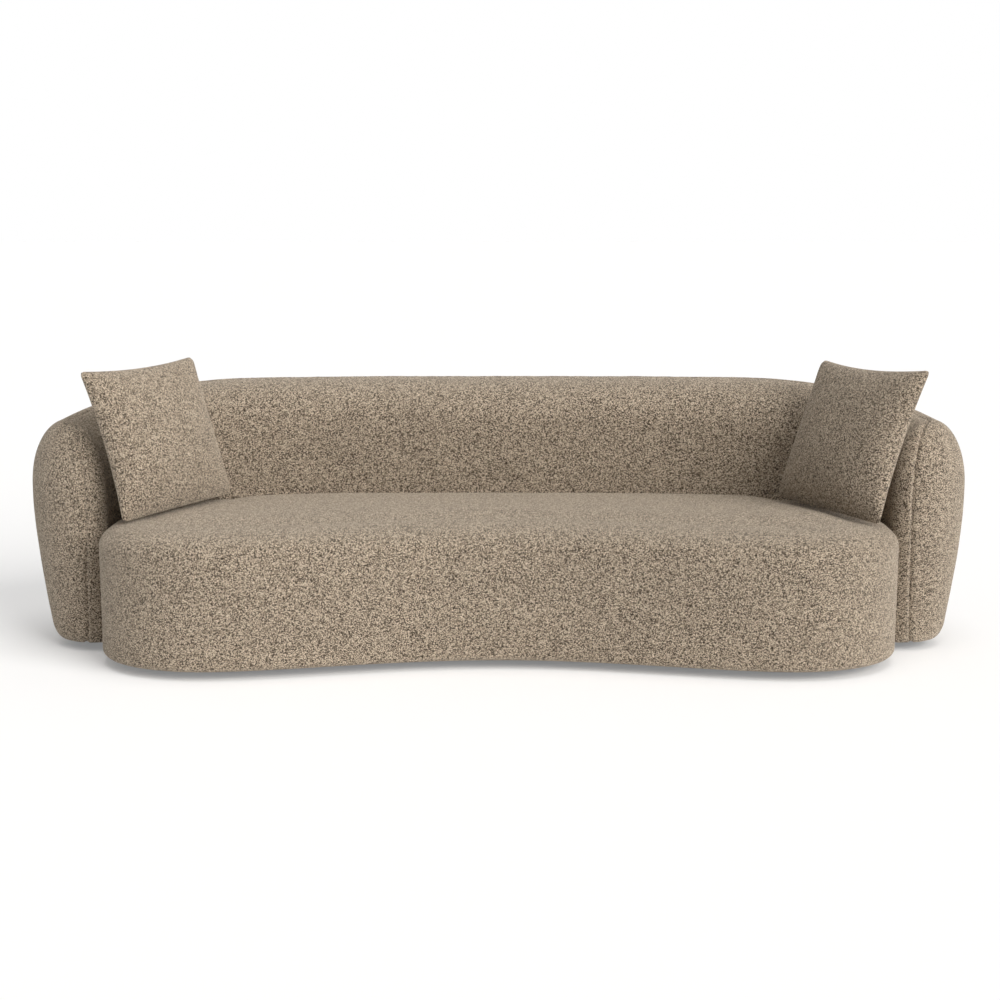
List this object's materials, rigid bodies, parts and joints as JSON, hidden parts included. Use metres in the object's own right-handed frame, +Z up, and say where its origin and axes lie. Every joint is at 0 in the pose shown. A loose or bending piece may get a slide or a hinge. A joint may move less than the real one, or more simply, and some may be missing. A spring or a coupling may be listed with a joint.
{
  "type": "curved sofa",
  "caption": "Long curved sofa: kidney-shaped seat with rounded edges, a back that wraps round into both arms, low feet and loose corner cushions.",
  "frame": {"origin": "on the floor under the middle of the sofa's overall width and depth", "axes": "+X to the right seen from the front, +Y to the back, +Z up"},
  "size_m": [2.788, 0.9419, 0.8493],
  "materials": {
    "cover_fabric": "matte",
    "foam": "matte",
    "wadding": "matte",
    "lining": "matte",
    "webbing": "matte",
    "zip_tape": "matte",
    "timber": "matte",
    "steel": "satin",
    "foot_plastic": "matte"
  },
  "bodies": {
    "sofa": {"seat_cover": "cover_fabric", "seat_foam": "foam", "seat_border_wadding": "wadding", "seat_fascia": "timber", "seat_bottom_board": "timber", "seat_dust_cover": "lining", "seat_top_ring": "timber", "seat_rib_1": "timber", "seat_rib_2": "timber", "seat_rib_3": "timber", "seat_rib_4": "timber", "seat_rib_5": "timber", "seat_strap_1": "webbing", "seat_strap_2": "webbing", "seat_strap_3": "webbing", "seat_strap_4": "webbing", "seat_strap_5": "webbing", "seat_strap_6": "webbing", "seat_strap_7": "webbing", "back_inner_cover": "cover_fabric", "back_outer_cover": "cover_fabric", "back_foam": "foam", "back_bottom_board": "timber", "back_top_rail": "timber", "back_inner_panel": "timber", "back_outer_panel": "timber", "back_dust_cover": "lining", "back_rib_1": "timber", "back_rib_2": "timber", "back_rib_3": "timber", "back_rib_4": "timber", "back_rib_5": "timber", "back_rib_6": "timber", "back_rib_7": "timber", "joining_plate_1": "steel", "coach_screw_1": "steel", "coach_screw_2": "steel", "joining_plate_2": "steel", "coach_screw_3": "steel", "coach_screw_4": "steel", "joining_plate_3": "steel", "coach_screw_5": "steel", "coach_screw_6": "steel", "foot_1": "foot_plastic", "foot_2": "foot_plastic", "foot_3": "foot_plastic", "foot_4": "foot_plastic", "foot_5": "foot_plastic", "foot_6": "foot_plastic", "foot_7": "foot_plastic", "foot_8": "foot_plastic"},
    "left_cushion": {"left_cushion_cover": "cover_fabric", "left_cushion_insert": "wadding", "left_cushion_zip": "zip_tape"},
    "right_cushion": {"right_cushion_cover": "cover_fabric", "right_cushion_insert": "wadding", "right_cushion_zip": "zip_tape"},
    "left_zip_slider": {"left_cushion_zip_slider": "steel"},
    "right_zip_slider": {"right_cushion_zip_slider": "steel"}
  },
  "joints": [
    {"name": "left_cushion_lift", "type": "slide", "parent": "sofa", "child": "left_cushion", "axis": [0, 0, 1], "range_m": [0, 0.4]},
    {"name": "right_cushion_lift", "type": "slide", "parent": "sofa", "child": "right_cushion", "axis": [0, 0, 1], "range_m": [0, 0.4]},
    {"name": "left_zip", "type": "slide", "parent": "left_cushion", "child": "left_zip_slider", "axis": [0.5823, 0.8116, 0.0466], "range_m": [0, 0.287]},
    {"name": "right_zip", "type": "slide", "parent": "right_cushion", "child": "right_zip_slider", "axis": [-0.5253, 0.8501, 0.0377], "range_m": [0, 0.287]}
  ]
}
